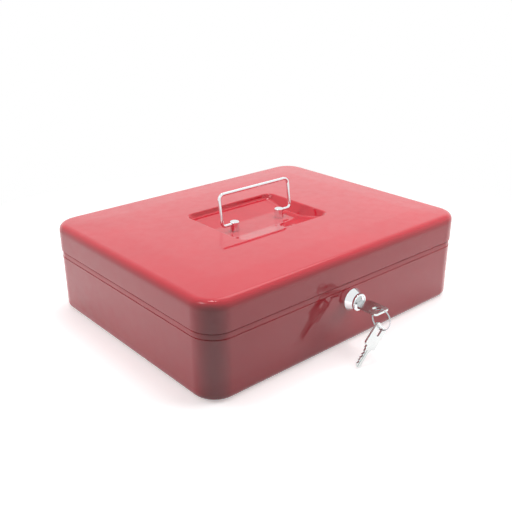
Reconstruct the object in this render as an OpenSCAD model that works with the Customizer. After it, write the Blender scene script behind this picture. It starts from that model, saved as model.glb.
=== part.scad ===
// Steel cash box: a rear-hinged lid with a sunk folding carry handle, a keyed
// cam lock with two keys on a split ring, and a loose coin tray inside.
// Millimetres, Z up, front towards -Y, origin on the underside at the middle.

/* [Case] */
// Width of the closed box over the lid
box_w = 300; // [270:1:330]
// Depth of the closed box over the lid, front to back
box_d = 236; // [215:1:255]
// Height of the closed box without its handle
box_h = 84; // [80:1:95]
// Height of the lower edge of the lid above the floor
seam_z = 58; // [57:1:60]
// Thickness of the steel sheet
sheet_t = 1; // [0.8:0.1:1.2]
// Radius of the upright corners of the lid
corner_r = 22; // [18:1:26]
// Radius of the top edges of the lid
lid_edge_r = 6; // [4:0.5:10]
// Radius of the bottom edges of the base
base_edge_r = 6; // [4:0.5:8]
// How far the lid stands out from the base wall
lid_proud = 0.6; // [0.4:0.1:0.8]
// Gap between the lid skirt and the inner rim of the base
rim_gap = 0.4; // [0.3:0.05:0.5]
// Height of the inner rim above the seam
rim_rise = 6; // [4:0.5:7]

/* [Handle well] */
// Length of the well along the box width
well_w = 105; // [100:1:110]
// Length of the well front to back
well_d = 84; // [80:1:88]
// Depth of the well
well_depth = 8.8; // [8:0.1:9]
// Width of the sloping ends of the well
well_end_slope = 7.5; // [6:0.5:9]
// Front to back length of the flat floor
well_floor_d = 28; // [24:1:34]
// Height of the steep wall at the front and the back of the well
well_wall_h = 4.4; // [3.5:0.1:5]
// Radius of the well corners seen from above
well_corner_r = 9; // [6:0.5:12]
// Middle of the well behind the middle of the box
well_y = 2; // [0:0.5:4]

/* [Carry handle] */
// Diameter of the handle wire
wire_d = 3; // [2.6:0.1:3.2]
// Distance between the middles of the two legs
bail_w = 82.6; // [78:0.2:85]
// Height of the grip bar above the pivot
bail_h = 28.8; // [26:0.2:30]
// Lean of the standing handle towards the hinges, in degrees
bail_lean = 8; // [0:1:15]
// Radius of the upper bends of the wire
bail_bend_r = 5; // [4:0.5:7]
// Radius of the lower bends of the wire
foot_bend_r = 3.5; // [3:0.5:4.5]
// Diameter of a handle post
post_d = 8.5; // [8:0.1:9]
// Distance between the two posts
post_gap = 54.4; // [50:0.2:58]
// Depth of the pivot below the top of a post
pivot_drop = 2.2; // [2.1:0.1:3]

/* [Lock] */
// Height of the lock axis
lock_z = 41; // [41:0.5:42]
// Radius of the trim ring where it meets the case
trim_r = 9.9; // [9:0.1:11]
// Length of the tapering trim ring
trim_len = 6.5; // [5.5:0.1:7]
// Radius of the nose of the lock
nose_r = 7.5; // [7.2:0.1:7.8]
// Length of the nose in front of the trim ring
nose_len = 2.6; // [2.5:0.1:3.5]
// Radius of the turning plug
plug_r = 5; // [4.9:0.05:5.1]
// Reach of the cam from the lock axis
cam_reach = 19; // [18:0.5:20]

/* [Keys] */
// Width of a key bow
bow_w = 16.6; // [15:0.2:18]
// Length of a key bow
bow_len = 21; // [19:0.5:21]
// Thickness of a key
key_t = 1.8; // [1.6:0.1:2]
// Width of a key blade
blade_w = 6.5; // [6:0.1:6.5]
// Length of a key blade
blade_len = 16; // [14:0.5:16]
// Inner radius of the split ring
ring_in_r = 8.5; // [8.2:0.1:8.5]
// Lean of the spare key from upright, in degrees
spare_lean = 47; // [47:1:50]

/* [Coin tray] */
// Height of the tray
tray_h = 30; // [26:1:30]
// Thickness of the tray walls
tray_wall = 2; // [1.6:0.1:2.4]
// Front to back length of the coin compartments
coin_d = 88; // [70:1:110]

/* [Finish] */
// Colour of the painted steel
paint = "Crimson"; // [Crimson, DarkRed, RoyalBlue, DimGray]
// Colour of the plated parts
plate = "Silver"; // [Silver, LightSteelBlue, Gold]
// Colour of the moulded tray
moulding = "DimGray"; // [DimGray, Black, SlateGray]

/* [Hidden] */
$fn = 64;
lid_in_w = box_w - 2 * sheet_t;
lid_in_d = box_d - 2 * sheet_t;
base_w = box_w - 2 * lid_proud;
base_d = box_d - 2 * lid_proud;
base_r = corner_r - lid_proud;
rim_w = lid_in_w - 2 * rim_gap;
rim_d = lid_in_d - 2 * rim_gap;
rim_r = corner_r - sheet_t - rim_gap;
rim_top = seam_z + rim_rise;
wall_top = seam_z - 1;
shoulder_h = 4.5;
shoulder_in = 0.4;
base_in_y = base_d / 2 - sheet_t;
well_floor_z = box_h - well_depth;
pan_grow = 1.3;
pan_lip_in = 0.8;
pan_end_grow = 0.4;
pivot_z = box_h - pivot_drop;
wire_r = wire_d / 2;
foot_blind = 1.2;
foot_end_gap = 1.6;
foot_hole_x = post_d / 2 - foot_blind;
foot_hole_len = foot_hole_x + post_d / 2 + 1;
post_hole_r = wire_r + 0.08;
post_edge = 0.5;
screw_r = 2;
screw_bite = 4;
screw_head_r = 3.5;
cross_half = 2.2;
cross_w = 0.9;
cross_depth = 1;
washer_r = 4.6;
washer_t = 0.8;
screw_head_h = 2.2;
pan_under_z = well_floor_z - sheet_t;
hinge_x = 85;
hinge_half = 23;
knuckle_r = 2.8;
knuckle_half = 9;
knuckle_gap = 0.2;
pin_r = 1.25;
pin_fit = 0.05;
leaf_t = 1.4;
leaf_len = 17;
leaf_clear = 3.3;
hinge_y = box_d / 2 + 3.2;
hinge_rivet_x = 15;
tab_drop = 0.5;
pin_head_t = 1;
pin_head_r = pin_r + 0.7;
rivet_z = 11;
rivet_r = 1.6;
rivet_dome_r = 3.35;
rivet_dome_h = 1.75;
rivet_tail_r = 2.6;
rivet_tail_t = 1;
face_y = -base_d / 2;
trim_front_y = face_y - trim_len;
nose_y = trim_front_y - nose_len;
barrel_r = 6.2;
barrel_fit = 0.1;
barrel_end_y = face_y + 12.2;
nose_edge = 0.6;
trim_rim_h = 1;
trim_waist_r = 6.8;
nut_t = 4;
nut_af = 19;
plug_fit = 0.05;
plug_recess = 0.4;
flange_gap = 0.1;
flange_t = 1;
flange_r = plug_r + 0.6;
slot_clear = 0.1;
cam_t = 2;
cam_gap = 0.2;
cam_half = 3.5;
cam_y = barrel_end_y + cam_gap;
cam_hub_r = 6.2;
cam_back_y = cam_y + cam_t;
cam_screw_r = 1.5;
cam_screw_bite = 4;
cam_head_r = 3.6;
cam_head_t = 1.8;
cam_slot_w = 1;
tail = 5;
wafer_t = 1;
wafer_count = 4;
wafer_half_x = 4.2;
wafer_half_z = 2.4;
wafer_fit = 0.1;
wafer_key_gap = 0.2;
neck_len = 2.5;
neck_w = 9;
neck_gap = 0.2;
bow_y = nose_y - neck_gap - neck_len;
bow_corner_r = 2.5;
strip = 2;
hole_len = 7.7;
hole_w = 5;
hole_corner_r = 1.6;
cut_depths = [1.1, 1.7, 0.8, 1.4];
cut_first = 3.4;
cut_pitch = 3;
wafer_first_y = nose_y - neck_gap + cut_first - wafer_t / 2;
groove_w = 1;
groove_depth = 0.35;
groove_x = 0.7;
ring_half_t = 1.05;
ring_wire = 1.1;
ring_mid_r = ring_in_r + ring_wire / 2;
ring_y = bow_y - bow_len + strip / 2;
ring_clear = 0.35;
ring_hang = norm([strip, key_t]) / 2 + ring_clear;
ring_z = lock_z - ring_in_r + ring_hang;
ring_low_z = ring_z - ring_mid_r;
spare_clear = 0.2;
spare_hang = strip + norm([ring_half_t, ring_wire / 2]) + spare_clear;
spare_side = 1;
strike_x0 = 13;
strike_x1 = 28;
strike_web_x = 20.5;
strike_t = 1.4;
strike_lip_gap = 1.2;
strike_lip_z = lock_z - cam_half - strike_lip_gap - strike_t;
strike_web_y = -lid_in_d / 2 + 3.6;
strike_back_y = cam_back_y + 1;
strike_shelf_z = rim_top + 1;
strike_pad_h = 10;
tray_sink = 0.5;
tray_top_z = seam_z - tray_sink;
tray_z = tray_top_z - tray_h;
tray_side_gap = 3.6;
tray_back_gap = 4.6;
tray_w = rim_w - 2 * sheet_t - 2 * tray_side_gap;
tray_back_y = rim_d / 2 - sheet_t - tray_back_gap;
tray_front_y = strike_back_y + 4;
tray_d = tray_back_y - tray_front_y;
tray_mid_y = (tray_back_y + tray_front_y) / 2;
tray_r = corner_r + 2;
coin_floor_r = 14;
note_floor_r = 4;
finger_r = 11;
rail_reach = 9;
rail_t = 1.5;
rail_len = 170;
rail_drop = 8;
coin_count = 5;
note_count = 3;

// Quarter of a disc in the first quadrant
module quarter(r) {
    intersection() {
        circle(r = r);
        square(r);
    }
}

// Rectangle with round corners, centred
module round_rect(w, d, r) {
    square([w - 2 * r, d], center = true);
    square([w, d - 2 * r], center = true);
    for (sx = [-1, 1]) {
        for (sy = [-1, 1]) {
            translate([sx * (w / 2 - r), sy * (d / 2 - r)]) circle(r = r);
        }
    }
}

// Runs a wall section round a rectangle with round corners. The section's
// x axis points outwards and starts at the middle of each corner.
module around(w, d, r) {
    mid_x = w / 2 - r;
    mid_y = d / 2 - r;
    for (i = [0:3]) {
        cx = (i == 0 || i == 3) ? mid_x : -mid_x;
        cy = (i < 2) ? mid_y : -mid_y;
        translate([cx, cy, 0]) rotate([0, 0, 90 * i]) rotate_extrude(angle = 90, $fn = 96) children();
    }
    for (a = [0, 180]) {
        rotate([0, 0, a]) translate([0, mid_y, 0]) rotate([90, 0, 90])
            linear_extrude(height = 2 * mid_x, center = true) children();
        rotate([0, 0, a]) translate([mid_x, 0, 0]) rotate([90, 0, 0])
            linear_extrude(height = 2 * mid_y, center = true) children();
    }
}

// Cylinder along Y from y0 to y1 on the lock axis
module lock_cyl(y0, y1, r) {
    translate([0, y1, lock_z]) rotate([90, 0, 0]) cylinder(h = y1 - y0, r = r);
}

// Cylinder along X, centred
module x_cyl(len, r) {
    rotate([0, 90, 0]) cylinder(h = len, r = r, center = true);
}

// Shape that the well cuts from the lid, grown by g and lifted to the height top
module well_space(g, top) {
    floor_z = well_floor_z - g;
    side = g * pan_grow;
    end_w = well_w / 2 - well_end_slope + pan_end_grow * g;
    end_top = well_w / 2 + side;
    slope_z = box_h - well_wall_h - g;
    back_top = well_d / 2 + g;
    intersection() {
        translate([0, well_y, 0]) rotate([90, 0, 0]) linear_extrude(height = 2 * well_d, center = true)
            polygon([[-end_w, floor_z], [end_w, floor_z], [end_top, box_h], [end_top, top],
                     [-end_top, top], [-end_top, box_h]]);
        translate([0, well_y, 0]) rotate([90, 0, 90]) linear_extrude(height = 2 * well_w, center = true)
            polygon([[-well_floor_d / 2, floor_z], [well_floor_d / 2, floor_z],
                     [back_top - pan_lip_in, slope_z], [back_top, box_h], [back_top, top],
                     [-back_top, top], [-back_top, box_h], [-back_top + pan_lip_in, slope_z]]);
        translate([0, well_y, floor_z]) linear_extrude(height = top - floor_z)
            round_rect(2 * end_top, 2 * back_top, well_corner_r + g);
    }
}

// Wall section of the lid: skirt and rounded top edge
module lid_section() {
    arc_z = box_h - lid_edge_r;
    arc_x = corner_r - lid_edge_r;
    difference() {
        union() {
            translate([arc_x, seam_z]) square([lid_edge_r, arc_z - seam_z]);
            translate([arc_x, arc_z]) quarter(lid_edge_r);
        }
        translate([arc_x - 1, seam_z - 1]) square([lid_edge_r + 1 - sheet_t, arc_z - seam_z + 1]);
        translate([arc_x, arc_z]) quarter(lid_edge_r - sheet_t);
    }
}

// Wall section of the base: rounded foot edge, wall and the shoulder under the lid
module base_section() {
    arc_x = base_r - base_edge_r;
    difference() {
        union() {
            translate([arc_x, base_edge_r]) mirror([0, 1]) quarter(base_edge_r);
            polygon([[arc_x, base_edge_r], [base_r, base_edge_r], [base_r, wall_top - shoulder_h],
                     [base_r - shoulder_in, wall_top], [arc_x, wall_top]]);
        }
        translate([arc_x, base_edge_r]) mirror([0, 1]) quarter(base_edge_r - sheet_t);
        translate([arc_x - 1, base_edge_r]) square([base_edge_r + 1 - sheet_t, wall_top]);
    }
}

// Places its children at both hinges
module at_hinges() {
    for (sx = [-1, 1]) {
        translate([sx * hinge_x, 0, 0]) children();
    }
}

// Rivet along Y: a domed head outside, a shank and a flat head inside
module rivet(y_out, y_in) {
    translate([0, y_out, 0]) rotate([-90, 0, 0]) difference() {
        translate([0, 0, rivet_dome_h - rivet_dome_r]) sphere(r = rivet_dome_r, $fn = 32);
        translate([0, 0, -2 * rivet_dome_r]) cylinder(h = 2 * rivet_dome_r, r = 2 * rivet_dome_r);
    }
    translate([0, y_out, 0]) rotate([90, 0, 0]) cylinder(h = y_out - y_in, r = rivet_r, $fn = 24);
    translate([0, y_in, 0]) rotate([90, 0, 0]) cylinder(h = rivet_tail_t, r = rivet_tail_r, $fn = 24);
}

// Holes for two rivets at each hinge, at the height z through the face at y
module rivet_holes(y, z, depth) {
    for (sx = [-1, 1]) {
        translate([sx * hinge_rivet_x, y + 1, z]) rotate([90, 0, 0])
            cylinder(h = depth + 2, r = rivet_r, $fn = 24);
    }
}

// One key in its own plane: bow end at y = 0, tip towards +y, cuts on the -x edge
module key_plate() {
    blade_y = bow_len + neck_len;
    tip_r = blade_w / 2;
    difference() {
        linear_extrude(height = key_t, center = true) {
            difference() {
                union() {
                    translate([0, bow_len / 2]) round_rect(bow_w, bow_len, bow_corner_r);
                    translate([-neck_w / 2, bow_len - 1]) square([neck_w, neck_len + 1]);
                    translate([-blade_w / 2, blade_y - 1]) square([blade_w, blade_len - tip_r + 1]);
                    translate([0, blade_y + blade_len - tip_r]) circle(r = tip_r);
                }
                translate([0, strip + hole_len / 2]) round_rect(hole_w, hole_len, hole_corner_r);
                for (i = [0:wafer_count - 1]) {
                    translate([-blade_w / 2, blade_y + cut_first + cut_pitch * i]) rotate([0, 0, 45])
                        square(cut_depths[i] * sqrt(2), center = true);
                }
            }
        }
        for (sz = [-1, 1]) {
            translate([groove_x, blade_y + 1 + blade_len / 2, sz * key_t / 2])
                cube([groove_w, blade_len, 2 * groove_depth], center = true);
        }
    }
}

module base_shell() {
    rim_low_z = wall_top - shoulder_h + 0.5;
    color(paint) difference() {
        union() {
            around(base_w, base_d, base_r) base_section();
            linear_extrude(height = sheet_t)
                round_rect(base_w - 2 * base_edge_r, base_d - 2 * base_edge_r, base_r - base_edge_r);
            translate([0, 0, rim_low_z]) linear_extrude(height = rim_top - rim_low_z)
                difference() {
                    round_rect(rim_w, rim_d, rim_r);
                    round_rect(rim_w - 2 * sheet_t, rim_d - 2 * sheet_t, rim_r - sheet_t);
                }
        }
        lock_cyl(face_y - 1, face_y + 3, barrel_r + barrel_fit);
        at_hinges() rivet_holes(base_d / 2, seam_z - rivet_z, sheet_t);
    }
}

// Ledges on the side walls that carry the tray
module tray_rails() {
    color(paint) for (sx = [0, 180]) {
        rotate([0, 0, sx]) translate([base_w / 2 - sheet_t, 0, tray_z]) {
            translate([-rail_reach, -rail_len / 2, -rail_t]) cube([rail_reach, rail_len, rail_t]);
            translate([-rail_t, -rail_len / 2, -rail_drop]) cube([rail_t, rail_len, rail_drop]);
        }
    }
}

module lock_trim_ring() {
    color(plate) translate([0, face_y, lock_z]) rotate([90, 0, 0]) difference() {
        union() {
            cylinder(h = trim_rim_h, r = trim_r);
            translate([0, 0, trim_rim_h])
                cylinder(h = trim_len - trim_rim_h, r1 = trim_r, r2 = trim_waist_r);
        }
        translate([0, 0, -1]) cylinder(h = trim_len + 2, r = barrel_r);
    }
}

module lock_body() {
    color(plate) difference() {
        union() {
            lock_cyl(nose_y + nose_edge, trim_front_y, nose_r);
            translate([0, nose_y + nose_edge, lock_z]) rotate([90, 0, 0])
                cylinder(h = nose_edge, r1 = nose_r, r2 = nose_r - nose_edge);
            lock_cyl(nose_y + nose_edge, barrel_end_y, barrel_r);
        }
        lock_cyl(nose_y - 1, barrel_end_y + 1, plug_r + plug_fit);
        lock_cyl(nose_y - 1, nose_y + plug_recess + flange_t + flange_gap, flange_r + flange_gap);
    }
}

module lock_nut() {
    color(plate) translate([0, face_y + sheet_t + nut_t, lock_z]) rotate([90, 0, 0]) difference() {
        rotate([0, 0, 30]) cylinder(h = nut_t, r = nut_af / sqrt(3), $fn = 6);
        translate([0, 0, -1]) cylinder(h = nut_t + 2, r = barrel_r);
    }
}

module hinge_base_leaves() {
    color(paint) at_hinges() difference() {
        union() {
            translate([-hinge_half, base_d / 2, seam_z - leaf_len])
                cube([2 * hinge_half, leaf_t, leaf_len - leaf_clear]);
            for (sx = [-1, 1]) {
                w = hinge_half - knuckle_half - knuckle_gap;
                x = sx * (knuckle_half + knuckle_gap + w / 2);
                translate([x - w / 2, base_d / 2, seam_z - leaf_clear - 1])
                    cube([w, leaf_t, leaf_clear + 1 - tab_drop]);
                translate([x, hinge_y, seam_z]) x_cyl(w, knuckle_r);
            }
        }
        translate([0, hinge_y, seam_z]) x_cyl(3 * hinge_half, pin_r);
        rivet_holes(base_d / 2 + leaf_t, seam_z - rivet_z, leaf_t);
    }
}

module hinge_base_rivets() {
    color(plate) at_hinges() for (sx = [-1, 1]) {
        translate([sx * hinge_rivet_x, 0, seam_z - rivet_z]) rivet(base_d / 2 + leaf_t, base_in_y);
    }
}

module hinge_pins() {
    color(plate) at_hinges() {
        translate([0, hinge_y, seam_z]) x_cyl(2 * hinge_half, pin_r);
        for (sx = [-1, 1]) {
            translate([sx * (hinge_half + pin_head_t / 2), hinge_y, seam_z]) x_cyl(pin_head_t, pin_head_r);
        }
    }
}

module lid_shell() {
    inset = 2 * lid_edge_r;
    color(paint) difference() {
        union() {
            around(box_w, box_d, corner_r) lid_section();
            difference() {
                translate([0, 0, box_h - sheet_t]) linear_extrude(height = sheet_t)
                    round_rect(box_w - inset, box_d - inset, corner_r - lid_edge_r);
                well_space(0, box_h + 5);
            }
            difference() {
                well_space(sheet_t, box_h);
                well_space(0, box_h + 5);
            }
        }
        for (sx = [-1, 1]) {
            translate([sx * post_gap / 2, well_y, pan_under_z - 1])
                cylinder(h = sheet_t + 2, r = screw_r, $fn = 32);
        }
        at_hinges() rivet_holes(box_d / 2, seam_z + rivet_z, sheet_t);
    }
}

module hinge_lid_leaves() {
    color(paint) at_hinges() difference() {
        union() {
            translate([-hinge_half, box_d / 2, seam_z + leaf_clear])
                cube([2 * hinge_half, leaf_t, leaf_len - leaf_clear]);
            translate([-knuckle_half, box_d / 2, seam_z]) cube([2 * knuckle_half, leaf_t, leaf_clear + 1]);
            translate([0, hinge_y, seam_z]) x_cyl(2 * knuckle_half, knuckle_r);
        }
        translate([0, hinge_y, seam_z]) x_cyl(3 * knuckle_half, pin_r + pin_fit);
        rivet_holes(box_d / 2 + leaf_t, seam_z + rivet_z, leaf_t);
    }
}

module hinge_lid_rivets() {
    color(plate) at_hinges() for (sx = [-1, 1]) {
        translate([sx * hinge_rivet_x, 0, seam_z + rivet_z]) rivet(box_d / 2 + leaf_t, lid_in_d / 2);
    }
}

// Bracket welded inside the lid front; its lip lies under the locked cam
module strike_bracket() {
    skirt_y = -lid_in_d / 2;
    full_w = strike_x1 - strike_x0;
    web_w = strike_x1 - strike_web_x;
    color(plate) {
        translate([strike_x0, skirt_y, strike_shelf_z]) cube([full_w, strike_t, strike_pad_h]);
        translate([strike_x0, skirt_y, strike_shelf_z])
            cube([full_w, strike_web_y + strike_t - skirt_y, strike_t]);
        translate([strike_web_x, strike_web_y, strike_lip_z])
            cube([web_w, strike_t, strike_shelf_z - strike_lip_z + strike_t]);
        translate([strike_x0, strike_web_y, strike_lip_z])
            cube([full_w, strike_back_y - strike_web_y, strike_t]);
    }
}

module handle_posts() {
    color(plate) for (sx = [-1, 1]) {
        translate([sx * post_gap / 2, well_y, well_floor_z]) difference() {
            union() {
                cylinder(h = well_depth - post_edge, r = post_d / 2);
                translate([0, 0, well_depth - post_edge])
                    cylinder(h = post_edge, r1 = post_d / 2, r2 = post_d / 2 - post_edge);
            }
            translate([sx * (foot_hole_len / 2 - foot_hole_x), 0, well_depth - pivot_drop])
                x_cyl(foot_hole_len, post_hole_r);
            translate([0, 0, -1]) cylinder(h = screw_bite + 1, r = screw_r, $fn = 32);
        }
    }
}

module post_screws() {
    color(plate) for (sx = [-1, 1]) {
        translate([sx * post_gap / 2, well_y, 0]) {
            translate([0, 0, pan_under_z - washer_t])
                cylinder(h = sheet_t + washer_t + screw_bite, r = screw_r, $fn = 32);
            translate([0, 0, pan_under_z - washer_t - screw_head_h]) difference() {
                cylinder(h = screw_head_h, r = screw_head_r);
                for (a = [0, 90]) {
                    rotate([0, 0, a]) cube([2 * cross_half, cross_w, 2 * cross_depth], center = true);
                }
            }
        }
    }
}

module post_washers() {
    color(plate) for (sx = [-1, 1]) {
        translate([sx * post_gap / 2, well_y, pan_under_z - washer_t]) difference() {
            cylinder(h = washer_t, r = washer_r);
            translate([0, 0, -1]) cylinder(h = washer_t + 2, r = screw_r, $fn = 32);
        }
    }
}

// Half of the bent wire, on the +X side
module half_bail() {
    leg_x = bail_w / 2;
    foot_tip_x = post_gap / 2 - foot_hole_x + foot_end_gap;
    foot_end_x = leg_x - foot_bend_r;
    translate([(leg_x - bail_bend_r) / 2, 0, bail_h]) x_cyl(leg_x - bail_bend_r, wire_r);
    translate([leg_x - bail_bend_r, 0, bail_h - bail_bend_r]) rotate([90, 0, 0])
        rotate_extrude(angle = 90) translate([bail_bend_r, 0]) circle(r = wire_r, $fn = 32);
    translate([leg_x, 0, foot_bend_r])
        cylinder(h = bail_h - bail_bend_r - foot_bend_r, r = wire_r, $fn = 32);
    translate([foot_end_x, 0, foot_bend_r]) rotate([-90, 0, 0])
        rotate_extrude(angle = 90) translate([foot_bend_r, 0]) circle(r = wire_r, $fn = 32);
    translate([(foot_tip_x + foot_end_x) / 2, 0, 0]) x_cyl(foot_end_x - foot_tip_x, wire_r);
}

module carry_handle() {
    color(plate) translate([0, well_y, pivot_z]) rotate([-bail_lean, 0, 0]) {
        half_bail();
        mirror([1, 0, 0]) half_bail();
    }
}

module lock_plug() {
    front_y = nose_y + plug_recess;
    slot_len = 1 + blade_len + 1.2;
    wafer_room_x = 2 * (wafer_half_x + wafer_fit);
    wafer_room_z = 2 * (wafer_half_z + wafer_fit);
    slot_w = blade_w + 2 * slot_clear;
    slot_t = key_t + 2 * slot_clear;
    color(plate) difference() {
        union() {
            lock_cyl(front_y, front_y + flange_t, flange_r);
            lock_cyl(front_y, barrel_end_y, plug_r);
            translate([-tail / 2, barrel_end_y - 1, lock_z - tail / 2])
                cube([tail, cam_t + cam_gap + 1, tail]);
        }
        translate([-slot_w / 2, front_y - 1, lock_z - slot_t / 2]) cube([slot_w, slot_len, slot_t]);
        for (i = [0:wafer_count - 1]) {
            translate([0, wafer_first_y + i * cut_pitch + wafer_t / 2, lock_z])
                cube([wafer_room_x, wafer_t + 2 * wafer_fit, wafer_room_z], center = true);
        }
        lock_cyl(cam_back_y - cam_screw_bite, cam_back_y + 1, cam_screw_r);
    }
}

// Wafers drawn level by the key
module lock_wafers() {
    hole_half_x = blade_w / 2 + wafer_key_gap;
    hole_half_z = key_t / 2 + wafer_key_gap;
    color("Gold") for (i = [0:wafer_count - 1]) {
        translate([0, wafer_first_y + i * cut_pitch + wafer_t / 2, lock_z]) difference() {
            cube([2 * wafer_half_x, wafer_t, 2 * wafer_half_z], center = true);
            cube([2 * hole_half_x, wafer_t + 1, 2 * hole_half_z], center = true);
        }
    }
}

module lock_cam() {
    arm = cam_reach - cam_half;
    color(plate) difference() {
        union() {
            lock_cyl(cam_y, cam_back_y, cam_hub_r);
            translate([-cam_half, cam_y, lock_z]) cube([2 * cam_half, cam_t, arm]);
            translate([0, cam_back_y, lock_z + arm]) rotate([90, 0, 0]) cylinder(h = cam_t, r = cam_half);
        }
        translate([-tail / 2, cam_y - 1, lock_z - tail / 2]) cube([tail, cam_t + 2, tail]);
    }
}

module cam_screw() {
    color(plate) {
        lock_cyl(cam_back_y - cam_screw_bite, cam_back_y + 1, cam_screw_r);
        difference() {
            lock_cyl(cam_back_y, cam_back_y + cam_head_t, cam_head_r);
            translate([-cam_head_r - 1, cam_back_y + 1, lock_z - cam_slot_w / 2])
                cube([2 * cam_head_r + 2, cam_head_t, cam_slot_w]);
        }
    }
}

module key() {
    color(plate) translate([0, bow_y - bow_len, lock_z]) key_plate();
}

module split_ring() {
    color(plate) translate([0, ring_y, ring_z]) rotate([0, 90, 0]) rotate_extrude($fn = 72) {
        for (sy = [-1, 1]) {
            translate([ring_mid_r, sy * (ring_half_t - ring_wire / 2)]) circle(r = ring_wire / 2, $fn = 20);
        }
        translate([ring_mid_r - ring_wire / 4, -ring_half_t / 2]) square([ring_wire / 2, ring_half_t]);
    }
}

module spare_key() {
    color(plate) translate([0, ring_y, ring_low_z]) rotate([0, spare_lean, 0]) rotate([-90, 0, 0])
        translate([-spare_side, -spare_hang, 0]) key_plate();
}

// One coin compartment, rounded along its floor, open at the top
module coin_cut(w, d, depth, r) {
    rotate([90, 0, 0]) linear_extrude(height = d, center = true) {
        translate([-w / 2 + r, 0]) square([w - 2 * r, depth]);
        translate([-w / 2, r]) square([w, depth - r]);
        for (sx = [-1, 1]) {
            translate([sx * (w / 2 - r), r]) circle(r = r);
        }
    }
}

module coin_tray() {
    in_w = tray_w - 2 * tray_wall;
    coin_w = (in_w - (coin_count - 1) * tray_wall) / coin_count;
    note_w = (in_w - (note_count - 1) * tray_wall) / note_count;
    note_d = tray_d - 3 * tray_wall - coin_d;
    coin_y = tray_front_y + tray_wall + coin_d / 2;
    note_y = tray_back_y - tray_wall - note_d / 2;
    floor_z = tray_z + tray_wall;
    color(moulding) difference() {
        translate([0, tray_mid_y, tray_z]) linear_extrude(height = tray_h)
            round_rect(tray_w, tray_d, tray_r);
        intersection() {
            translate([0, tray_mid_y, tray_z]) linear_extrude(height = tray_h + 2)
                round_rect(in_w, tray_d - 2 * tray_wall, tray_r - tray_wall);
            union() {
                for (i = [0:coin_count - 1]) {
                    translate([(i - (coin_count - 1) / 2) * (coin_w + tray_wall), coin_y, floor_z])
                        coin_cut(coin_w, coin_d, tray_h, coin_floor_r);
                }
                for (i = [0:note_count - 1]) {
                    translate([(i - (note_count - 1) / 2) * (note_w + tray_wall), note_y, floor_z])
                        coin_cut(note_w, note_d, tray_h, note_floor_r);
                }
            }
        }
        for (sx = [-1, 1]) {
            translate([sx * (note_w + tray_wall) / 2, note_y, tray_top_z]) x_cyl(2 * tray_wall, finger_r);
        }
    }
}

base_shell();
tray_rails();
lock_trim_ring();
lock_body();
lock_nut();
hinge_base_leaves();
hinge_base_rivets();
hinge_pins();
lid_shell();
hinge_lid_leaves();
hinge_lid_rivets();
strike_bracket();
handle_posts();
post_screws();
post_washers();
carry_handle();
lock_plug();
lock_wafers();
lock_cam();
cam_screw();
key();
split_ring();
spare_key();
coin_tray();
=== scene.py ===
import bpy
import bmesh
import math
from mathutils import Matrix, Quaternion, Vector


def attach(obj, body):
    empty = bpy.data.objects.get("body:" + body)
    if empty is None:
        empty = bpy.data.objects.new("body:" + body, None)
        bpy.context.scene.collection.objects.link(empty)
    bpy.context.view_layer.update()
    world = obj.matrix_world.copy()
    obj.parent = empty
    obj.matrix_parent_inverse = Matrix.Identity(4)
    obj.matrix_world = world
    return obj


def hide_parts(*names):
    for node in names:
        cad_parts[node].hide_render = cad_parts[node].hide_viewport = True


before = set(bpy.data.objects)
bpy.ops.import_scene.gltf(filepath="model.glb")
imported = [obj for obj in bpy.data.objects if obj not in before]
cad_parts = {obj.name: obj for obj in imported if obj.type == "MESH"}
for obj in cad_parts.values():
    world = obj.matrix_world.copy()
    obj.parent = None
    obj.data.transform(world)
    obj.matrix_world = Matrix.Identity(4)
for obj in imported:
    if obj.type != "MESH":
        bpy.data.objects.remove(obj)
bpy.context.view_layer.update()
mm = 0.001
mergeGap = 0.002


def only(obj):
    if bpy.context.mode != "OBJECT":
        bpy.ops.object.mode_set(mode="OBJECT")
    bpy.ops.object.select_all(action="DESELECT")
    obj.select_set(True)
    bpy.context.view_layer.objects.active = obj


def fixPlace(obj):
    # the object's place, turn and size go into its mesh
    only(obj)
    bpy.ops.object.transform_apply(location=True, rotation=True, scale=True)


def edit(obj):
    only(obj)
    bpy.ops.object.mode_set(mode="EDIT")
    bpy.ops.mesh.select_all(action="DESELECT")


def pick(obj, kind, test):
    # kind is EDGE or FACE; test gets the corner points in millimetres
    bpy.ops.mesh.select_mode(type=kind)
    bpy.ops.mesh.select_all(action="DESELECT")
    bm = bmesh.from_edit_mesh(obj.data)
    for item in {"EDGE": bm.edges, "FACE": bm.faces}[kind]:
        if test([v.co / mm for v in item.verts]):
            item.select_set(True)
    bmesh.update_edit_mesh(obj.data)


def atHeight(z, tol=0.05):
    return lambda spots: all(abs(p.z - z) < tol for p in spots)


def slide(x):
    bpy.ops.transform.translate(value=(x * mm, 0, 0))


def grow(x, y, z, centre):
    bpy.ops.transform.resize(value=(x, y, z), center_override=tuple(c * mm for c in centre))


def extrude(x=0, y=0, z=0):
    bpy.ops.mesh.extrude_region_move(TRANSFORM_OT_translate={"value": (x * mm, y * mm, z * mm)})


def bevel(width, steps, affect="EDGES", profile=0.5):
    bpy.ops.mesh.bevel(offset=width * mm, offset_type="OFFSET", segments=steps, profile=profile, affect=affect)


def roundedPlane(w, d, z, r, steps, y=0):
    # adds a flat plate with round corners to the mesh in edit mode
    bpy.ops.mesh.select_mode(type="VERT")
    bpy.ops.mesh.primitive_plane_add(size=1, location=(0, y * mm, z * mm))
    grow(w * mm, d * mm, 1, (0, y, z))
    bevel(r, steps, "VERTICES")


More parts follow.
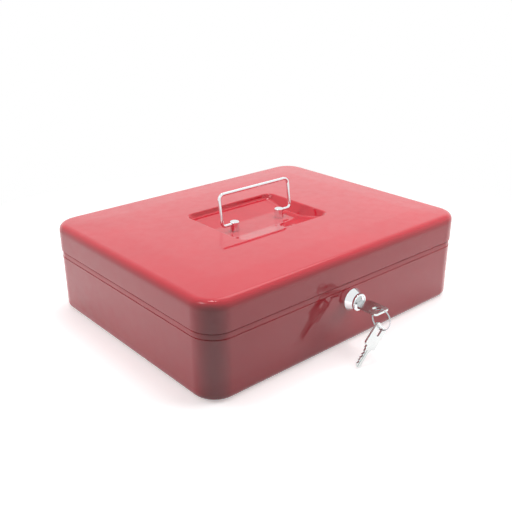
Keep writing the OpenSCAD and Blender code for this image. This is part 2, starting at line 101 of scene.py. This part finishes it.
def roundedBlock(w, d, low, high, corner, steps):
    # a closed box with round upright corners, left in edit mode
    middle = (low + high) / 2
    bpy.ops.mesh.primitive_cube_add(size=1, location=(0, 0, middle * mm))
    box = bpy.context.object
    fixPlace(box)
    edit(box)
    bpy.ops.mesh.select_all(action="SELECT")
    grow(w * mm, d * mm, (high - low) * mm, (0, 0, middle))
    pick(box, "EDGE", lambda p: abs(p[0].z - p[1].z) > (high - low) / 2)
    bevel(corner, steps)
    return box


def applyModifier(obj, kind, **values):
    only(obj)
    mod = obj.modifiers.new(kind.title(), kind)
    for key, value in values.items():
        setattr(mod, key, value)
    bpy.ops.object.modifier_apply(modifier=mod.name)


def cutAway(obj, cutter):
    applyModifier(obj, "BOOLEAN", object=cutter, operation="DIFFERENCE", solver="EXACT")
    bpy.data.objects.remove(cutter)


def tidyMesh(obj):
    edit(obj)
    bpy.ops.mesh.select_all(action="SELECT")
    bpy.ops.mesh.remove_doubles(threshold=mergeGap * mm)
    bpy.ops.mesh.normals_make_consistent(inside=False)
    bpy.ops.object.mode_set(mode="OBJECT")


def soften(obj, width, steps, limit):
    applyModifier(obj, "BEVEL", width=width * mm, segments=steps, limit_method="ANGLE",
                  angle_limit=math.radians(limit), harden_normals=False, use_clamp_overlap=True)


def shade(obj, angle=38):
    only(obj)
    bpy.ops.object.shade_smooth_by_angle(angle=math.radians(angle))
    applyModifier(obj, "WEIGHTED_NORMAL", keep_sharp=True, weight=60)


def settle(obj, name, body, slotName, material, node):
    fixPlace(obj)
    obj.name = name
    obj.data.name = name
    obj.data.materials.clear()
    obj.data.materials.append(material)
    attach(obj, body)
    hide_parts(node)


def turned(stations, centre, along, sides):
    # stations are (distance, radius) in millimetres; a disc is drawn out from one to the next
    spin = {"-Y": (math.pi / 2, 0, 0), "Z": (0, 0, 0), "X": (0, math.pi / 2, 0)}[along]
    way = {"-Y": Vector((0, -1, 0)), "Z": Vector((0, 0, 1)), "X": Vector((1, 0, 0))}[along]
    start = Vector(centre) + way * stations[0][0]
    bpy.ops.mesh.primitive_circle_add(vertices=sides, radius=stations[0][1] * mm, fill_type="NGON",
                                      location=start * mm, rotation=spin)
    obj = bpy.context.object
    fixPlace(obj)
    bpy.ops.object.mode_set(mode="EDIT")
    bpy.ops.mesh.select_mode(type="FACE")
    bpy.ops.mesh.select_all(action="SELECT")
    for (d0, r0), (d1, r1) in zip(stations, stations[1:]):
        extrude(*(way * (d1 - d0)))
        grow(*[1 if abs(c) > 0.5 else r1 / r0 for c in way], Vector(centre) + way * d1)
    bpy.ops.object.mode_set(mode="OBJECT")
    tidyMesh(obj)
    return obj


def copied(obj, x, y, z):
    twin = obj.copy()
    twin.data = obj.data.copy()
    bpy.context.scene.collection.objects.link(twin)
    twin.location = Vector(obj.location) + Vector((x, y, z)) * mm
    fixPlace(twin)
    return twin


class Nodes:
    # a short way to wire a procedural material
    def __init__(self, name):
        self.material = bpy.data.materials.new(name)
        self.material.use_nodes = True
        self.tree = self.material.node_tree
        self.shader = self.tree.nodes["Principled BSDF"]
        self.coord = self.tree.nodes.new("ShaderNodeTexCoord")

    def add(self, kind, **values):
        node = self.tree.nodes.new("ShaderNode" + kind)
        for key, value in values.items():
            if hasattr(node, key):
                setattr(node, key, value)
            else:
                node.inputs[key.replace("_", " ")].default_value = value
        return node

    def link(self, a, b):
        self.tree.links.new(a, b)

    def mapped(self, scale):
        node = self.add("Mapping")
        node.inputs["Scale"].default_value = scale
        self.link(self.coord.outputs["Object"], node.inputs["Vector"])
        return node.outputs["Vector"]

    def noise(self, size, detail=3, rough=0.5, vector=None):
        # size is in millimetres
        node = self.add("TexNoise", Scale=1000 / size, Detail=detail, Roughness=rough)
        self.link(vector or self.coord.outputs["Object"], node.inputs["Vector"])
        return node.outputs["Fac"]

    def cells(self, size):
        node = self.add("TexVoronoi", Scale=1000 / size)
        self.link(self.coord.outputs["Object"], node.inputs["Vector"])
        return node.outputs["Distance"]

    def between(self, fac, low, high, fromLow=0.3, fromHigh=0.7):
        # most of a noise lies between 0.3 and 0.7
        node = self.add("MapRange")
        for key, value in (("From Min", fromLow), ("From Max", fromHigh), ("To Min", low), ("To Max", high)):
            node.inputs[key].default_value = value
        self.link(fac, node.inputs["Value"])
        return node.outputs["Result"]

    def blend(self, fac, a, b):
        node = self.add("Mix", data_type="RGBA")
        node.inputs["A"].default_value = (*a, 1)
        node.inputs["B"].default_value = (*b, 1)
        self.link(fac, node.inputs["Factor"])
        return node.outputs["Result"]

    def bump(self, height, strength, distance, under=None):
        # distance is in millimetres
        node = self.add("Bump", Strength=strength)
        node.inputs["Distance"].default_value = distance * mm
        self.link(height, node.inputs["Height"])
        if under:
            self.link(under, node.inputs["Normal"])
        return node.outputs["Normal"]

    def set(self, **values):
        for key, value in values.items():
            self.shader.inputs[key.replace("_", " ")].default_value = value

    def feed(self, key, output):
        self.link(output, self.shader.inputs[key])


paintLook = {"colour": (0.62, 0.003, 0.022), "shade": (0.58, 0.002, 0.02), "driftSize": 60,
             "rough": (0.30, 0.42), "roughSize": 9, "shine": 0.08, "coat": 1.0, "coatRough": 0.035, "coatIor": 1.6,
             "peelSize": 1.6, "coatPeelSize": 2.4, "peel": 0.05, "peelDeep": 0.02}


def paintMaterial(s):
    m = Nodes("redEnamel")
    drift = m.noise(s["driftSize"], 2)
    m.feed("Base Color", m.blend(m.between(drift, 0, 1), s["shade"], s["colour"]))
    m.feed("Roughness", m.between(m.noise(s["roughSize"], 4), *s["rough"]))
    m.set(Coat_Weight=s["coat"], Coat_Roughness=s["coatRough"], Coat_IOR=s["coatIor"], Specular_IOR_Level=s["shine"])
    m.feed("Normal", m.bump(m.noise(s["peelSize"], 2), s["peel"], s["peelDeep"]))
    m.feed("Coat Normal", m.bump(m.noise(s["coatPeelSize"], 2), s["peel"], s["peelDeep"]))
    return m.material


# what the metals share: fine lines along a grain over broad patches of tint; spangle is the size of zinc's crystals
plainMetal = {"metal": 1.0, "patchSize": 14, "scratch": 0.03, "scratchDeep": 0.01, "grain": (1, 1, 1),
              "grainSize": 0.6, "spangle": 0, "spangleBump": 0.06, "spangleDeep": 0.02}
metalLooks = {
    "chromePlate": {"colour": (0.86, 0.87, 0.89), "tint": (0.80, 0.81, 0.83), "rough": (0.03, 0.07), "scratch": 0.01},
    "nickelPlate": {"colour": (0.71, 0.74, 0.73), "tint": (0.66, 0.69, 0.69), "rough": (0.2, 0.28), "scratch": 0.02,
                    "grain": (6, 1, 6), "grainSize": 1.2},
    "ringWire": {"colour": (0.70, 0.70, 0.72), "tint": (0.6, 0.6, 0.62), "rough": (0.10, 0.2)},
    "zincPlate": {"colour": (0.68, 0.70, 0.72), "tint": (0.58, 0.60, 0.60), "rough": (0.28, 0.42), "scratch": 0.05,
                  "grainSize": 0.8, "spangle": 2.5, "metal": 0.75},
    "brassPlate": {"colour": (0.80, 0.60, 0.26), "tint": (0.70, 0.50, 0.2), "rough": (0.2, 0.32), "scratch": 0.05,
                   "grain": (1, 8, 1), "grainSize": 0.8},
}


def metalMaterial(name):
    s = {**plainMetal, **metalLooks[name]}
    m = Nodes(name)
    m.set(Metallic=s["metal"])
    patch = m.between(m.noise(s["patchSize"], 4), 0, 1)
    m.feed("Base Color", m.blend(patch, s["tint"], s["colour"]))
    lines = m.noise(s["grainSize"], 5, 0.65, m.mapped(s["grain"]))
    m.feed("Roughness", m.between(lines, *s["rough"]))
    normal = m.bump(lines, s["scratch"], s["scratchDeep"])
    if s["spangle"]:
        normal = m.bump(m.cells(s["spangle"]), s["spangleBump"], s["spangleDeep"], normal)
    m.feed("Normal", normal)
    return m.material


plasticLook = {"colour": (0.044, 0.045, 0.05), "shade": (0.030, 0.031, 0.034), "driftSize": 25,
               "rough": (0.42, 0.6), "roughSize": 3, "grainSize": 0.5, "grain": 0.12, "grainDeep": 0.03}


def plasticMaterial(s):
    m = Nodes("darkMoulding")
    m.feed("Base Color", m.blend(m.between(m.noise(s["driftSize"]), 0, 1), s["shade"], s["colour"]))
    m.feed("Roughness", m.between(m.noise(s["roughSize"]), *s["rough"]))
    m.feed("Normal", m.bump(m.cells(s["grainSize"]), s["grain"], s["grainDeep"]))
    return m.material


redEnamel = paintMaterial(paintLook)
chromePlate = metalMaterial("chromePlate")
nickelPlate = metalMaterial("nickelPlate")
ringWire = metalMaterial("ringWire")
zincPlate = metalMaterial("zincPlate")
brassPlate = metalMaterial("brassPlate")
darkMoulding = plasticMaterial(plasticLook)
print("materials ready")


lidShape = {"w": 300, "d": 236, "seam": 58, "top": 84, "corner": 22, "edge": 9, "edgeShape": 0.62, "edgeSteps": 12,
            "sheet": 1, "steps": 14, "crown": 1.0, "crownBand": 26, "crownCorner": 12, "crownCuts": 3,
            "wellW": 105, "wellD": 84, "wellY": 2, "wellDepth": 8.8, "wallHeight": 4.4, "wallIn": 1.6,
            "endSlope": 7.5, "floorD": 28, "wellCorner": 9, "wallCorner": 8.2, "floorCorner": 4,
            "rimSoft": 1.3, "wallSoft": 1.6, "floorSoft": 1.8, "bendSteps": 4, "cutSoft": 0.3}


def makeLid(s):
    brow = s["top"] - s["crown"]
    lid = roundedBlock(s["w"], s["d"], s["seam"], brow, s["corner"], s["steps"])
    pick(lid, "EDGE", atHeight(brow))
    bevel(s["edge"], s["edgeSteps"], profile=s["edgeShape"])
    # the sheet is crowned: its flat middle stands a little above the edges
    flatIn = 2 * (s["edge"] + s["crownBand"])
    roundedPlane(s["w"] - flatIn, s["d"] - flatIn, s["top"], s["crownCorner"], s["steps"])
    manySided = lambda p: len(p) > 20  # only the block's two ends and the flat plates have so many corners
    pick(lid, "FACE", manySided)
    bpy.ops.mesh.delete(type="ONLY_FACE")
    pick(lid, "EDGE", lambda p: atHeight(brow, 0.001)(p) or atHeight(s["top"], 0.001)(p))
    bpy.ops.mesh.bridge_edge_loops(number_cuts=s["crownCuts"])
    # three loops of the well, from the rim down to its flat floor
    midZ = s["top"] - s["wallHeight"]
    floorZ = s["top"] - s["wellDepth"]
    roundedPlane(s["wellW"], s["wellD"], s["top"], s["wellCorner"], s["steps"], s["wellY"])
    roundedPlane(s["wellW"] - s["endSlope"], s["wellD"] - s["wallIn"], midZ, s["wallCorner"], s["steps"], s["wellY"])
    pick(lid, "FACE", manySided)
    bpy.ops.mesh.delete(type="ONLY_FACE")
    pick(lid, "EDGE", atHeight(s["top"], 0.001))
    bpy.ops.mesh.bridge_edge_loops()
    reachX, reachY = s["wellW"] / 2 + 1, s["wellD"] / 2 + 1
    inWell = lambda p: all(abs(q.x) < reachX and abs(q.y - s["wellY"]) < reachY for q in p)
    pick(lid, "EDGE", lambda p: inWell(p) and (atHeight(s["top"])(p) or atHeight(midZ)(p)))
    bpy.ops.mesh.bridge_edge_loops()
    roundedPlane(s["wellW"] - 2 * s["endSlope"], s["floorD"], floorZ, s["floorCorner"], s["steps"], s["wellY"])
    pick(lid, "EDGE", lambda p: inWell(p) and (atHeight(floorZ)(p) or atHeight(midZ)(p)))
    bpy.ops.mesh.bridge_edge_loops()
    # the press leaves soft bends at the rim, at the foot of the walls and round the floor
    for height, width in ((s["top"], s["rimSoft"]), (midZ, s["wallSoft"]), (floorZ, s["floorSoft"])):
        pick(lid, "EDGE", lambda p: inWell(p) and atHeight(height)(p))
        bevel(width, s["bendSteps"])
    bpy.ops.object.mode_set(mode="OBJECT")
    tidyMesh(lid)
    applyModifier(lid, "SOLIDIFY", thickness=s["sheet"] * mm, offset=-1, use_even_offset=True)
    soften(lid, s["cutSoft"], 3, 60)
    shade(lid)
    settle(lid, "lidSkin", "lid", "red_paint", redEnamel, "lid_shell")


makeLid(lidShape)
print("lid ready")


baseShape = {"w": 298.8, "d": 234.8, "corner": 21.4, "foot": 6, "footSteps": 8, "grooveZ": 52.2, "sheet": 1,
             "steps": 14, "cutSoft": 0.15,
             # inset from the wall and height: groove, shoulder, ledge and the rim that the lid closes over
             "rim": [(0.5, 52.2), (0.5, 52.9), (0.12, 52.9), (0.3, 56.3), (0.5, 56.8), (0.8, 56.9), (0.8, 64)]}


def makeBase(s):
    base = roundedBlock(s["w"], s["d"], 0, s["grooveZ"], s["corner"], s["steps"])
    pick(base, "EDGE", atHeight(0))
    bevel(s["foot"], s["footSteps"])
    # the block's top goes, and its edge is drawn up into the rim
    pick(base, "FACE", lambda p: len(p) > 20 and p[0].z > s["foot"])
    bpy.ops.mesh.delete(type="ONLY_FACE")
    pick(base, "EDGE", atHeight(s["grooveZ"]))
    inset, height = 0, s["grooveZ"]
    for newInset, newHeight in s["rim"]:
        extrude(z=newHeight - height)
        grow(*((s[side] - 2 * newInset) / (s[side] - 2 * inset) for side in "wd"), 1, (0, 0, newHeight))
        inset, height = newInset, newHeight
    bpy.ops.object.mode_set(mode="OBJECT")
    tidyMesh(base)
    applyModifier(base, "SOLIDIFY", thickness=s["sheet"] * mm, offset=-1, use_even_offset=True)
    soften(base, s["cutSoft"], 2, 60)
    shade(base)
    settle(base, "baseSkin", "base", "red_paint", redEnamel, "base_shell")


makeBase(baseShape)
print("base ready")


bailShape = {"wire": 1.5, "halfW": 41.3, "height": 28.8, "topBend": 5, "footBend": 3.5, "tip": 25.75,
             "pivotY": 2, "pivotZ": 81.8, "lean": 8, "sides": 24, "footSteps": 8, "topSteps": 10, "tipSoft": 0.3}


def makeBail(s):
    # one half of the wire: foot, lower bend, leg, upper bend and half the grip
    bpy.ops.mesh.primitive_circle_add(vertices=s["sides"], radius=s["wire"] * mm, fill_type="NOTHING",
                                      location=(s["tip"] * mm, 0, 0), rotation=(0, math.pi / 2, 0))
    bail = bpy.context.object
    fixPlace(bail)
    bpy.ops.object.mode_set(mode="EDIT")
    bpy.ops.mesh.select_mode(type="EDGE")
    bpy.ops.mesh.select_all(action="SELECT")
    straight = s["halfW"] - s["footBend"]
    extrude(x=straight - s["tip"])
    bpy.ops.mesh.spin(steps=s["footSteps"], angle=math.pi / 2, axis=(0, 1, 0),
                      center=(straight * mm, 0, s["footBend"] * mm))
    extrude(z=s["height"] - s["topBend"] - s["footBend"])
    bpy.ops.mesh.spin(steps=s["topSteps"], angle=math.pi / 2, axis=(0, 1, 0),
                      center=((s["halfW"] - s["topBend"]) * mm, 0, (s["height"] - s["topBend"]) * mm))
    extrude(x=-(s["halfW"] - s["topBend"]))
    pick(bail, "EDGE", lambda p: all(abs(q.x - s["tip"]) < 0.05 for q in p))
    bpy.ops.mesh.edge_face_add()
    bpy.ops.object.mode_set(mode="OBJECT")
    tidyMesh(bail)
    applyModifier(bail, "MIRROR", use_axis=(True, False, False), use_clip=True, merge_threshold=0.01 * mm)
    tidyMesh(bail)
    soften(bail, s["tipSoft"], 2, 60)
    bail.rotation_euler = (math.radians(-s["lean"]), 0, 0)
    bail.location = (0, s["pivotY"] * mm, s["pivotZ"] * mm)
    fixPlace(bail)
    shade(bail, 50)
    settle(bail, "wireBail", "handle", "chrome", chromePlate, "carry_handle")


makeBail(bailShape)

postShape = {"r": 4.25, "height": 8.8, "foot": 75.2, "x": 27.2, "y": 2, "holeZ": 81.8, "holeR": 1.58,
             "holeStart": 3.05, "holeLen": 8.3, "cutSoft": 0.12, "sides": 48, "holeSides": 32,
             # how far below the top and inside the rim, and the shallow dimple in the middle
             "head": [(0.5, 0), (0.1, 0.35), (0, 0.9), (0.15, 1.5)], "dimpleDeep": 0.12, "dimpleR": 0.6}


def makePosts(s):
    head = [(s["height"] - below, s["r"] - inside) for below, inside in s["head"]]
    post = turned([(0, s["r"]), *head, (s["height"] - s["dimpleDeep"], s["dimpleR"])],
                  (s["x"], s["y"], s["foot"]), "Z", s["sides"])
    drill = turned([(0, s["holeR"]), (s["holeLen"], s["holeR"])],
                   (s["x"] - s["holeStart"], s["y"], s["holeZ"]), "X", s["holeSides"])
    cutAway(post, drill)
    soften(post, s["cutSoft"], 2, 50)
    applyModifier(post, "MIRROR", use_axis=(True, False, False))
    tidyMesh(post)
    shade(post)
    settle(post, "bailPosts", "lid", "chrome", chromePlate, "handle_posts")


makePosts(postShape)
print("handle ready")


lockShape = {"z": 41, "face": 117.4, "trimR": 9.9, "trimLen": 6.5, "waist": 6.8, "noseR": 7.5,
             "noseLen": 2.6, "barrelR": 6.2, "barrelBack": 12.2, "plugR": 5.06, "flangeR": 5.7, "flangeDeep": 1.5,
             "trimGap": 0.06, "sides": 96, "cutSoft": 0.1, "over": 1,
             # how far out of the front wall and inside the rim
             "trimEdge": [(0, 0), (0.7, 0), (1.1, 0.15)],
             # how far out of the trim and inside the rim
             "noseFoot": [(0.01, 0.3), (0.3, 0)],
             # how far behind the nose's face and inside the rim
             "noseEdge": [(0.9, 0), (0.5, 0.12), (0.2, 0.45), (0.04, 0.95), (0, 1.3)]}


def makeLock(s):
    face, front = s["face"], s["face"] + s["trimLen"]
    nose, back = front + s["noseLen"], face - s["barrelBack"]

    def lathed(stations):
        return turned(stations, (0, 0, s["z"]), "-Y", s["sides"])

    def bored(obj, start, end, r):
        cutAway(obj, lathed([(start, r), (end, r)]))

    def finished(obj, *settled):
        soften(obj, s["cutSoft"], 2, 50)
        shade(obj, 30)
        settle(obj, *settled)

    trim = lathed([*((face + out, s["trimR"] - inside) for out, inside in s["trimEdge"]), (front, s["waist"])])
    bored(trim, face - s["over"], front + s["over"], s["barrelR"] + s["trimGap"])
    finished(trim, "trimCone", "base", "chrome", chromePlate, "lock_trim_ring")
    body = lathed([(back, s["barrelR"]), (front, s["barrelR"]),
                   *((front + out, s["noseR"] - inside) for out, inside in s["noseFoot"]),
                   *((nose - behind, s["noseR"] - inside) for behind, inside in s["noseEdge"])])
    bored(body, back - s["over"], nose + s["over"], s["plugR"])
    bored(body, nose - s["flangeDeep"], nose + s["over"], s["flangeR"])
    finished(body, "lockNose", "base", "chrome", chromePlate, "lock_body")


makeLock(lockShape)
print("lock ready")


keyShape = {"bowW": 16.6, "bowLen": 21, "bowRound": 2.5, "holeW": 5, "holeLen": 7.7, "holeRound": 1.8,
            "strip": 2, "neckHalf": 4.5, "thick": 1.8, "bowY": -150.2, "z": 41, "steps": 6, "cutSoft": 0.22,
            "grooveX": 0.9, "grooveY": 32.4, "grooveW": 1.3, "grooveLen": 17, "grooveDeep": 0.9,
            # distance from the bow's end, left edge, right edge
            "blade": [(23.2, -4.5, 4.5), (23.6, -3.25, 3.25), (25.8, -3.25, 3.25), (26.7, -2.15, 3.25),
                      (27.4, -2.3, 3.25), (28.4, -3.25, 3.25), (29.0, -3.0, 3.25), (29.8, -1.6, 3.25),
                      (30.3, -1.7, 3.25), (31.6, -3.1, 3.25), (32.2, -3.2, 3.25), (32.9, -2.45, 3.25),
                      (33.5, -2.5, 3.25), (34.4, -3.2, 3.25), (35.3, -1.9, 3.25), (35.9, -1.9, 3.2),
                      (37.2, -3.0, 3.0), (38.5, -2.1, 2.1), (39.2, -1.1, 1.1), (39.5, -0.3, 0.3)]}


def makeKeyPlate(s):
    bpy.ops.mesh.primitive_plane_add(size=1, location=(0, s["bowLen"] / 2 * mm, 0))
    plate = bpy.context.object
    fixPlace(plate)
    edit(plate)
    bpy.ops.mesh.select_all(action="SELECT")
    grow(s["bowW"] * mm, s["bowLen"] * mm, 1, (0, s["bowLen"] / 2, 0))
    bevel(s["bowRound"], s["steps"], "VERTICES")
    roundedPlane(s["holeW"], s["holeLen"], 0, s["holeRound"], s["steps"], s["strip"] + s["holeLen"] / 2)
    pick(plate, "FACE", lambda p: True)
    bpy.ops.mesh.delete(type="ONLY_FACE")
    pick(plate, "EDGE", lambda p: True)
    bpy.ops.mesh.bridge_edge_loops()
    for side in (-1, 1):
        bpy.ops.mesh.select_all(action="SELECT")
        bpy.ops.mesh.bisect(plane_co=(side * s["neckHalf"] * mm, 0, 0), plane_no=(1, 0, 0))
    # the blade grows out of the bow's far edge
    near = 0.02
    pick(plate, "EDGE", lambda p: all(abs(q.y - s["bowLen"]) < near and abs(q.x) < s["neckHalf"] + near for q in p))
    y, left, right = s["bowLen"], -s["neckHalf"], s["neckHalf"]
    for newY, newLeft, newRight in s["blade"]:
        extrude(y=newY - y)
        grow((newRight - newLeft) / (right - left), 1, 1, ((left + right) / 2, newY, 0))
        slide((newLeft + newRight) / 2 - (left + right) / 2)
        y, left, right = newY, newLeft, newRight
    bpy.ops.object.mode_set(mode="OBJECT")
    tidyMesh(plate)
    applyModifier(plate, "SOLIDIFY", thickness=s["thick"] * mm, offset=0)
    # a groove along each face of the blade
    for side in (-1, 1):
        spot = Vector((side * s["grooveX"], s["grooveY"], side * s["thick"] / 2))
        bpy.ops.mesh.primitive_cube_add(size=1, location=spot * mm)
        groove = bpy.context.object
        groove.scale = (s["grooveW"] * mm, s["grooveLen"] * mm, s["grooveDeep"] * mm)
        fixPlace(groove)
        cutAway(plate, groove)
    tidyMesh(plate)
    soften(plate, s["cutSoft"], 3, 35)
    return plate


plate = makeKeyPlate(keyShape)
lockKey = copied(plate, 0, keyShape["bowY"], keyShape["z"])
shade(lockKey)
settle(lockKey, "lockKey", "key", "nickel", nickelPlate, "key")

hangShape = {"ringY": -149.2, "ringZ": 34.195, "innerR": 8.5, "wire": 1.1, "strand": 0.7, "sides": 12,
             "lean": 47, "hang": 3.385, "side": 1, "turns": 1.96, "steps": 40}


def makeRing(s):
    midR = s["innerR"] + s["wire"] / 2
    bpy.ops.mesh.primitive_circle_add(vertices=s["sides"], radius=s["wire"] / 2 * mm, fill_type="NGON",
                                      location=(0, 0, midR * mm))
    ring = bpy.context.object
    fixPlace(ring)
    bpy.ops.object.mode_set(mode="EDIT")
    bpy.ops.mesh.select_all(action="SELECT")
    bpy.ops.transform.rotate(value=math.pi / 2, orient_axis="X", center_override=(0, 0, midR * mm))
    grow(s["strand"] / s["wire"], 1, 1, (0, 0, midR))
    slide(-s["strand"])
    bpy.ops.mesh.select_mode(type="FACE")
    bpy.ops.mesh.select_all(action="SELECT")
    # the flattened wire is led round in small steps and drifts sideways, so that its ends lie side by side
    count = round(s["turns"] * s["steps"])
    for i in range(count):
        extrude(x=2 * s["strand"] / count)
        bpy.ops.transform.rotate(value=2 * math.pi / s["steps"], orient_axis="X", center_override=(0, 0, 0))
    bpy.ops.object.mode_set(mode="OBJECT")
    tidyMesh(ring)
    ring.location = (0, s["ringY"] * mm, s["ringZ"] * mm)
    fixPlace(ring)
    shade(ring, 60)
    settle(ring, "splitLoop", "ring", "nickel", ringWire, "split_ring")


def makeSpare(plate, s):
    spare = copied(plate, -s["side"], -s["hang"], 0)
    bpy.data.objects.remove(plate)
    spare.rotation_euler = (math.radians(-90), 0, 0)
    fixPlace(spare)
    spare.rotation_euler = (0, math.radians(s["lean"]), 0)
    spare.location = Vector((0, s["ringY"], s["ringZ"] - s["innerR"] - s["wire"] / 2)) * mm
    fixPlace(spare)
    shade(spare)
    settle(spare, "spareKey", "spare", "nickel", nickelPlate, "spare_key")


makeRing(hangShape)
makeSpare(plate, hangShape)
print("keys ready")


# the solids that stay get their finishes
finishes = {
    "tray_rails": redEnamel, "hinge_base_leaves": redEnamel, "hinge_lid_leaves": redEnamel,
    "lock_nut": zincPlate, "hinge_base_rivets": zincPlate, "hinge_lid_rivets": zincPlate,
    "hinge_pins": zincPlate, "strike_bracket": zincPlate, "post_screws": zincPlate, "post_washers": zincPlate,
    "lock_cam": zincPlate, "cam_screw": zincPlate, "lock_plug": chromePlate, "lock_wafers": brassPlate,
    "coin_tray": darkMoulding,
}
for nodeName, finish in finishes.items():
    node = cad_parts[nodeName]
    node.data.materials.clear()
    node.data.materials.append(finish)


# size, below and open are in metres; lift is the glow under the shadow, and open is where the floor turns plain white
roomLook = {"size": 12, "below": 0.0002, "paper": 0.9, "bounce": 0.12, "lift": 0.42, "open": (0.22, 0.45),
            "airLow": 0.01, "airHigh": 0.13}


def shownRays(tree):
    # 1 for a ray from the camera and for one that metal or glass sends on
    ray = tree.nodes.new("ShaderNodeLightPath")
    shown = ray.outputs["Is Camera Ray"]
    for kind in ("Is Glossy Ray", "Is Transmission Ray"):
        larger = tree.nodes.new("ShaderNodeMath")
        larger.operation = "MAXIMUM"
        tree.links.new(shown, larger.inputs[0])
        tree.links.new(ray.outputs[kind], larger.inputs[1])
        shown = larger.outputs[0]
    return shown


def makeFloor(s):
    bpy.ops.mesh.primitive_plane_add(size=s["size"], location=(0, 0, -s["below"]))
    floor = bpy.context.object
    floor.name = "floor"
    m = Nodes("floorPaper")
    m.tree.nodes.remove(m.shader)

    def mixed(fac, a, b):
        node = m.add("MixShader")
        for socket, output in zip(node.inputs, (fac, a, b)):
            m.link(output, socket)
        return node.outputs[0]

    near = m.add("BsdfDiffuse")
    near.inputs["Color"].default_value = (s["paper"],) * 3 + (1,)
    lit = m.add("AddShader")
    m.link(near.outputs[0], lit.inputs[0])
    m.link(m.add("Emission", Strength=s["lift"]).outputs[0], lit.inputs[1])
    # further out the paper is plain white
    away = m.add("VectorMath", operation="LENGTH")
    m.link(m.coord.outputs["Object"], away.inputs[0])
    plain = m.add("Emission", Strength=1.0)
    paper = mixed(m.between(away.outputs["Value"], 0, 1, *s["open"]), lit.outputs[0], plain.outputs[0])
    # it throws only a little light back on the object
    bounce = m.add("BsdfDiffuse")
    bounce.inputs["Color"].default_value = (s["bounce"],) * 3 + (1,)
    surface = mixed(shownRays(m.tree), bounce.outputs[0], paper)
    m.link(surface, m.tree.nodes["Material Output"].inputs["Surface"])
    floor.data.materials.append(m.material)


def makeAir(s):
    world = bpy.data.worlds.new("studioAir")
    bpy.context.scene.world = world
    world.use_nodes = True
    tree = world.node_tree
    tree.nodes.remove(tree.nodes["Background"])

    def add(kind, **inputs):
        node = tree.nodes.new("ShaderNode" + kind)
        for key, value in inputs.items():
            node.inputs[key.replace("_", " ")].default_value = value
        return node

    way = add("SeparateXYZ")
    tree.links.new(add("TexCoord").outputs["Generated"], way.inputs[0])
    # the air's own light grows from the horizon up
    rise = add("MapRange", From_Min=0, From_Max=1, To_Min=s["airLow"], To_Max=s["airHigh"])
    rise.interpolation_type = "SMOOTHSTEP"
    tree.links.new(way.outputs["Z"], rise.inputs["Value"])
    air = add("Background", Color=(1, 1, 1, 1))
    tree.links.new(rise.outputs["Result"], air.inputs["Strength"])
    white = add("Background", Color=(1, 1, 1, 1), Strength=1)
    last = add("MixShader")
    for socket, output in zip(last.inputs, (shownRays(tree), air.outputs[0], white.outputs[0])):
        tree.links.new(output, socket)
    tree.links.new(last.outputs[0], tree.nodes["World Output"].inputs["Surface"])


makeFloor(roomLook)
makeAir(roomLook)
print("room ready")


# name, azimuth, elevation, distance, width and height in metres, power in watts
lamps = [("overhead", 135, 77, 1.5, 1.1, 0.9, 12.2), ("streak", 163, 82, 1.1, 0.24, 0.07, 0.75),
         ("rimBox", 123, 52, 1.4, 0.6, 0.4, 0.7), ("sideBox", -92, 53, 1.1, 0.35, 0.35, 0.8),
         ("leftBox", -139, 22, 2.0, 1.0, 1.0, 18.0), ("rightBox", 51, 24, 1.0, 0.5, 0.5, 3.1),
         ("frontBox", 46, 60, 1.0, 0.5, 0.5, 2.4)]
unmirrored = ("overhead", "leftBox", "rightBox", "frontBox")  # their outlines don't show in polished pieces


def awayTo(azimuth, elevation):
    # the direction from the object, with azimuth 0 in front of the lock
    a, e = math.radians(azimuth), math.radians(elevation)
    return Vector((math.sin(a) * math.cos(e), -math.cos(a) * math.cos(e), math.sin(e)))


def makeLamp(name, azimuth, elevation, distance, width, height, power):
    data = bpy.data.lights.new(name, "AREA")
    data.shape = "RECTANGLE"
    data.size, data.size_y, data.energy = width, height, power
    lampObj = bpy.data.objects.new(name, data)
    bpy.context.scene.collection.objects.link(lampObj)
    way = awayTo(azimuth, elevation)
    lampObj.visible_glossy = name not in unmirrored
    lampObj.location = way * distance
    lampObj.rotation_euler = way.to_track_quat("Z", "Y").to_euler()


for lamp in lamps:
    makeLamp(*lamp)

# distances and offsets in millimetres; focal is in pixels of a frame of 512
cameraView = {"azimuth": -40.86, "elevation": 22.79, "roll": -0.34, "distance": 664.4, "focal": 702.5,
              "across": -2.71, "up": -1.95, "aimZ": 45, "frame": 512, "sensor": 36, "clip": (0.01, 20)}


def makeCamera(s):
    back = awayTo(s["azimuth"], s["elevation"])
    a = math.radians(s["azimuth"])
    right = Vector((math.cos(a), math.sin(a), 0))
    up = back.cross(right)
    aim = right * s["across"] + up * s["up"] + Vector((0, 0, s["aimZ"]))
    data = bpy.data.cameras.new("view")
    data.sensor_width = s["sensor"]
    data.lens = s["focal"] / s["frame"] * s["sensor"]
    data.clip_start, data.clip_end = s["clip"]
    cam = bpy.data.objects.new("view", data)
    bpy.context.scene.collection.objects.link(cam)
    cam.location = (aim + back * s["distance"]) * mm
    cam.rotation_mode = "QUATERNION"
    cam.rotation_quaternion = back.to_track_quat("Z", "Y")
    cam.rotation_quaternion.rotate(Quaternion(back, math.radians(s["roll"])))
    bpy.context.scene.camera = cam


makeCamera(cameraView)
bpy.context.scene.view_settings.view_transform = "Standard"
print("scene ready")
